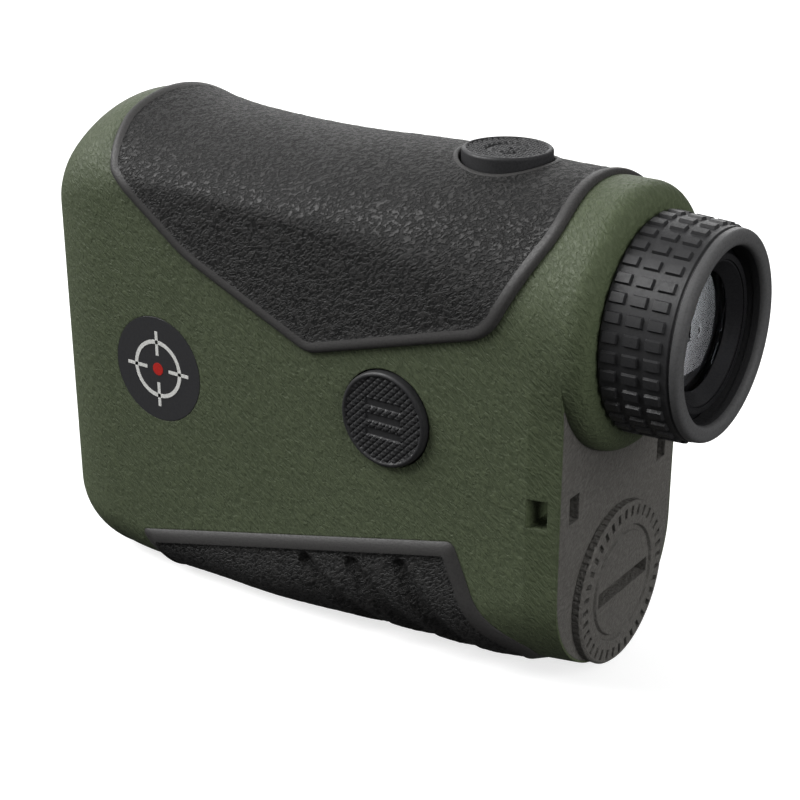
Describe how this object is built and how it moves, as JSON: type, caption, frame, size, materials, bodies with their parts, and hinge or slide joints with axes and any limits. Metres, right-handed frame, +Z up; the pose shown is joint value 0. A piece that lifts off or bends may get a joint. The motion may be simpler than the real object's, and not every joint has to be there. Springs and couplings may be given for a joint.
{
  "type": "laser rangefinder",
  "caption": "Handheld laser rangefinder with an olive housing, black rubber grips, focusing eyepiece, top and side buttons and a screw-cap battery compartment.",
  "frame": {"origin": "middle of the flat sole under the lower grip, on the object's plane of symmetry", "axes": "+X along the sight axis towards the user's eye, -Y to the user's left (mode button and badge side), +Z up towards the measure button"},
  "size_m": [0.1137, 0.0397, 0.0792],
  "materials": {
    "green_shell": "olive green soft-touch plastic with a fine leather grain",
    "grip_rubber": "black rubber, coarse grain inside a smooth rolled rim",
    "rear_plastic": "warm dark grey plastic with a pebbled grain",
    "black_plastic": "satin black plastic",
    "eyepiece_rubber": "satin black rubber",
    "badge_disc": "dark grey satin disc",
    "button_rubber": "black rubber, cross-hatched",
    "black_aluminium": "black anodised",
    "coated_glass": "polished, anti-reflection coated",
    "steel": "bright spring and screw steel",
    "nickel": "nickel plated contact",
    "circuit_board": "green solder mask",
    "chip_black": "moulded chip package",
    "chassis_plastic": "glass-filled black plastic",
    "battery_sleeve": "plain dark blue printed-free sleeve",
    "flex_film": "amber polyimide film",
    "capacitor_can": "bare can",
    "seal_rubber": "black nitrile"
  },
  "bodies": {
    "housing": {"body_shell": "green_shell", "upper_grip": "grip_rubber", "lower_grip": "grip_rubber", "rear_plate": "rear_plastic", "front_bezel": "black_plastic", "badge_disc": "badge_disc", "battery_tube": "chassis_plastic", "battery_contact_plate": "nickel", "battery_contact_spring": "steel", "tube_screws": "steel", "eyepiece_tube": "black_aluminium", "eyepiece_o_ring": "seal_rubber", "measure_button_spring": "steel", "measure_switch": "black_plastic", "top_button_board": "circuit_board", "mode_button_spring": "steel", "mode_switch": "black_plastic", "side_button_board": "circuit_board", "objective_barrel": "black_aluminium", "objective_lens": "coated_glass", "objective_retaining_ring": "black_aluminium", "emitter_barrel": "black_aluminium", "emitter_lens": "coated_glass", "emitter_retaining_ring": "black_aluminium", "laser_diode": "nickel", "roof_prism": "coated_glass", "prism_clamp": "steel", "receiver_module": "nickel", "display_frame": "black_plastic", "display_glass": "coated_glass", "optical_chassis": "chassis_plastic", "main_board": "circuit_board", "board_chips": "chip_black", "storage_capacitor": "capacitor_can", "display_flex_cable": "flex_film", "chassis_screws": "steel", "board_screws": "steel"},
    "diopter_ring": {"diopter_ring_core": "black_plastic", "diopter_ring_grip": "eyepiece_rubber"},
    "lens_cell": {"eye_lens_cell": "black_aluminium", "field_lens": "coated_glass", "lens_spacer": "black_aluminium", "eye_lens": "coated_glass", "eye_lens_retainer": "black_aluminium"},
    "measure_button": {"measure_button": "button_rubber"},
    "mode_button": {"mode_button": "button_rubber"},
    "cap_contact": {"cap_contact": "nickel"},
    "battery_cap": {"battery_cap": "rear_plastic", "cap_o_ring": "seal_rubber"},
    "battery": {"battery_cell": "battery_sleeve"}
  },
  "joints": [
    {"name": "diopter_turn", "type": "hinge", "parent": "housing", "child": "diopter_ring", "pos_m": [0.0455, 0, 0.0565], "axis": [1, 0, 0], "range_deg": [-120, 120]},
    {"name": "lens_cell_slide", "type": "slide", "parent": "housing", "child": "lens_cell", "axis": [1, 0, 0], "range_m": [-0.0015, 0.0015]},
    {"name": "measure_press", "type": "slide", "parent": "housing", "child": "measure_button", "axis": [0, 0, -1], "range_m": [0, 0.0008], "stiffness_N_per_m": 1200, "springref_m": -0.0005, "deforming": ["measure_button_spring"]},
    {"name": "mode_press", "type": "slide", "parent": "housing", "child": "mode_button", "axis": [0, 1, 0], "range_m": [0, 0.0008], "stiffness_N_per_m": 1200, "springref_m": -0.0005, "deforming": ["mode_button_spring"]},
    {"name": "cap_pull", "type": "slide", "parent": "housing", "child": "cap_contact", "axis": [1, 0, 0], "range_m": [0, 0.045]},
    {"name": "cap_turn", "type": "hinge", "parent": "cap_contact", "child": "battery_cap", "pos_m": [0.0417, 0, 0.01425], "axis": [1, 0, 0], "range_deg": [0, 720]},
    {"name": "battery_slide", "type": "slide", "parent": "housing", "child": "battery", "axis": [1, 0, 0], "range_m": [0, 0.045]}
  ],
  "couplings": [
    {"joint": "diopter_turn", "follows": "lens_cell_slide", "rad_per_m": 1396.3},
    {"joint": "battery_slide", "follows": "cap_pull", "ratio": 1}
  ]
}
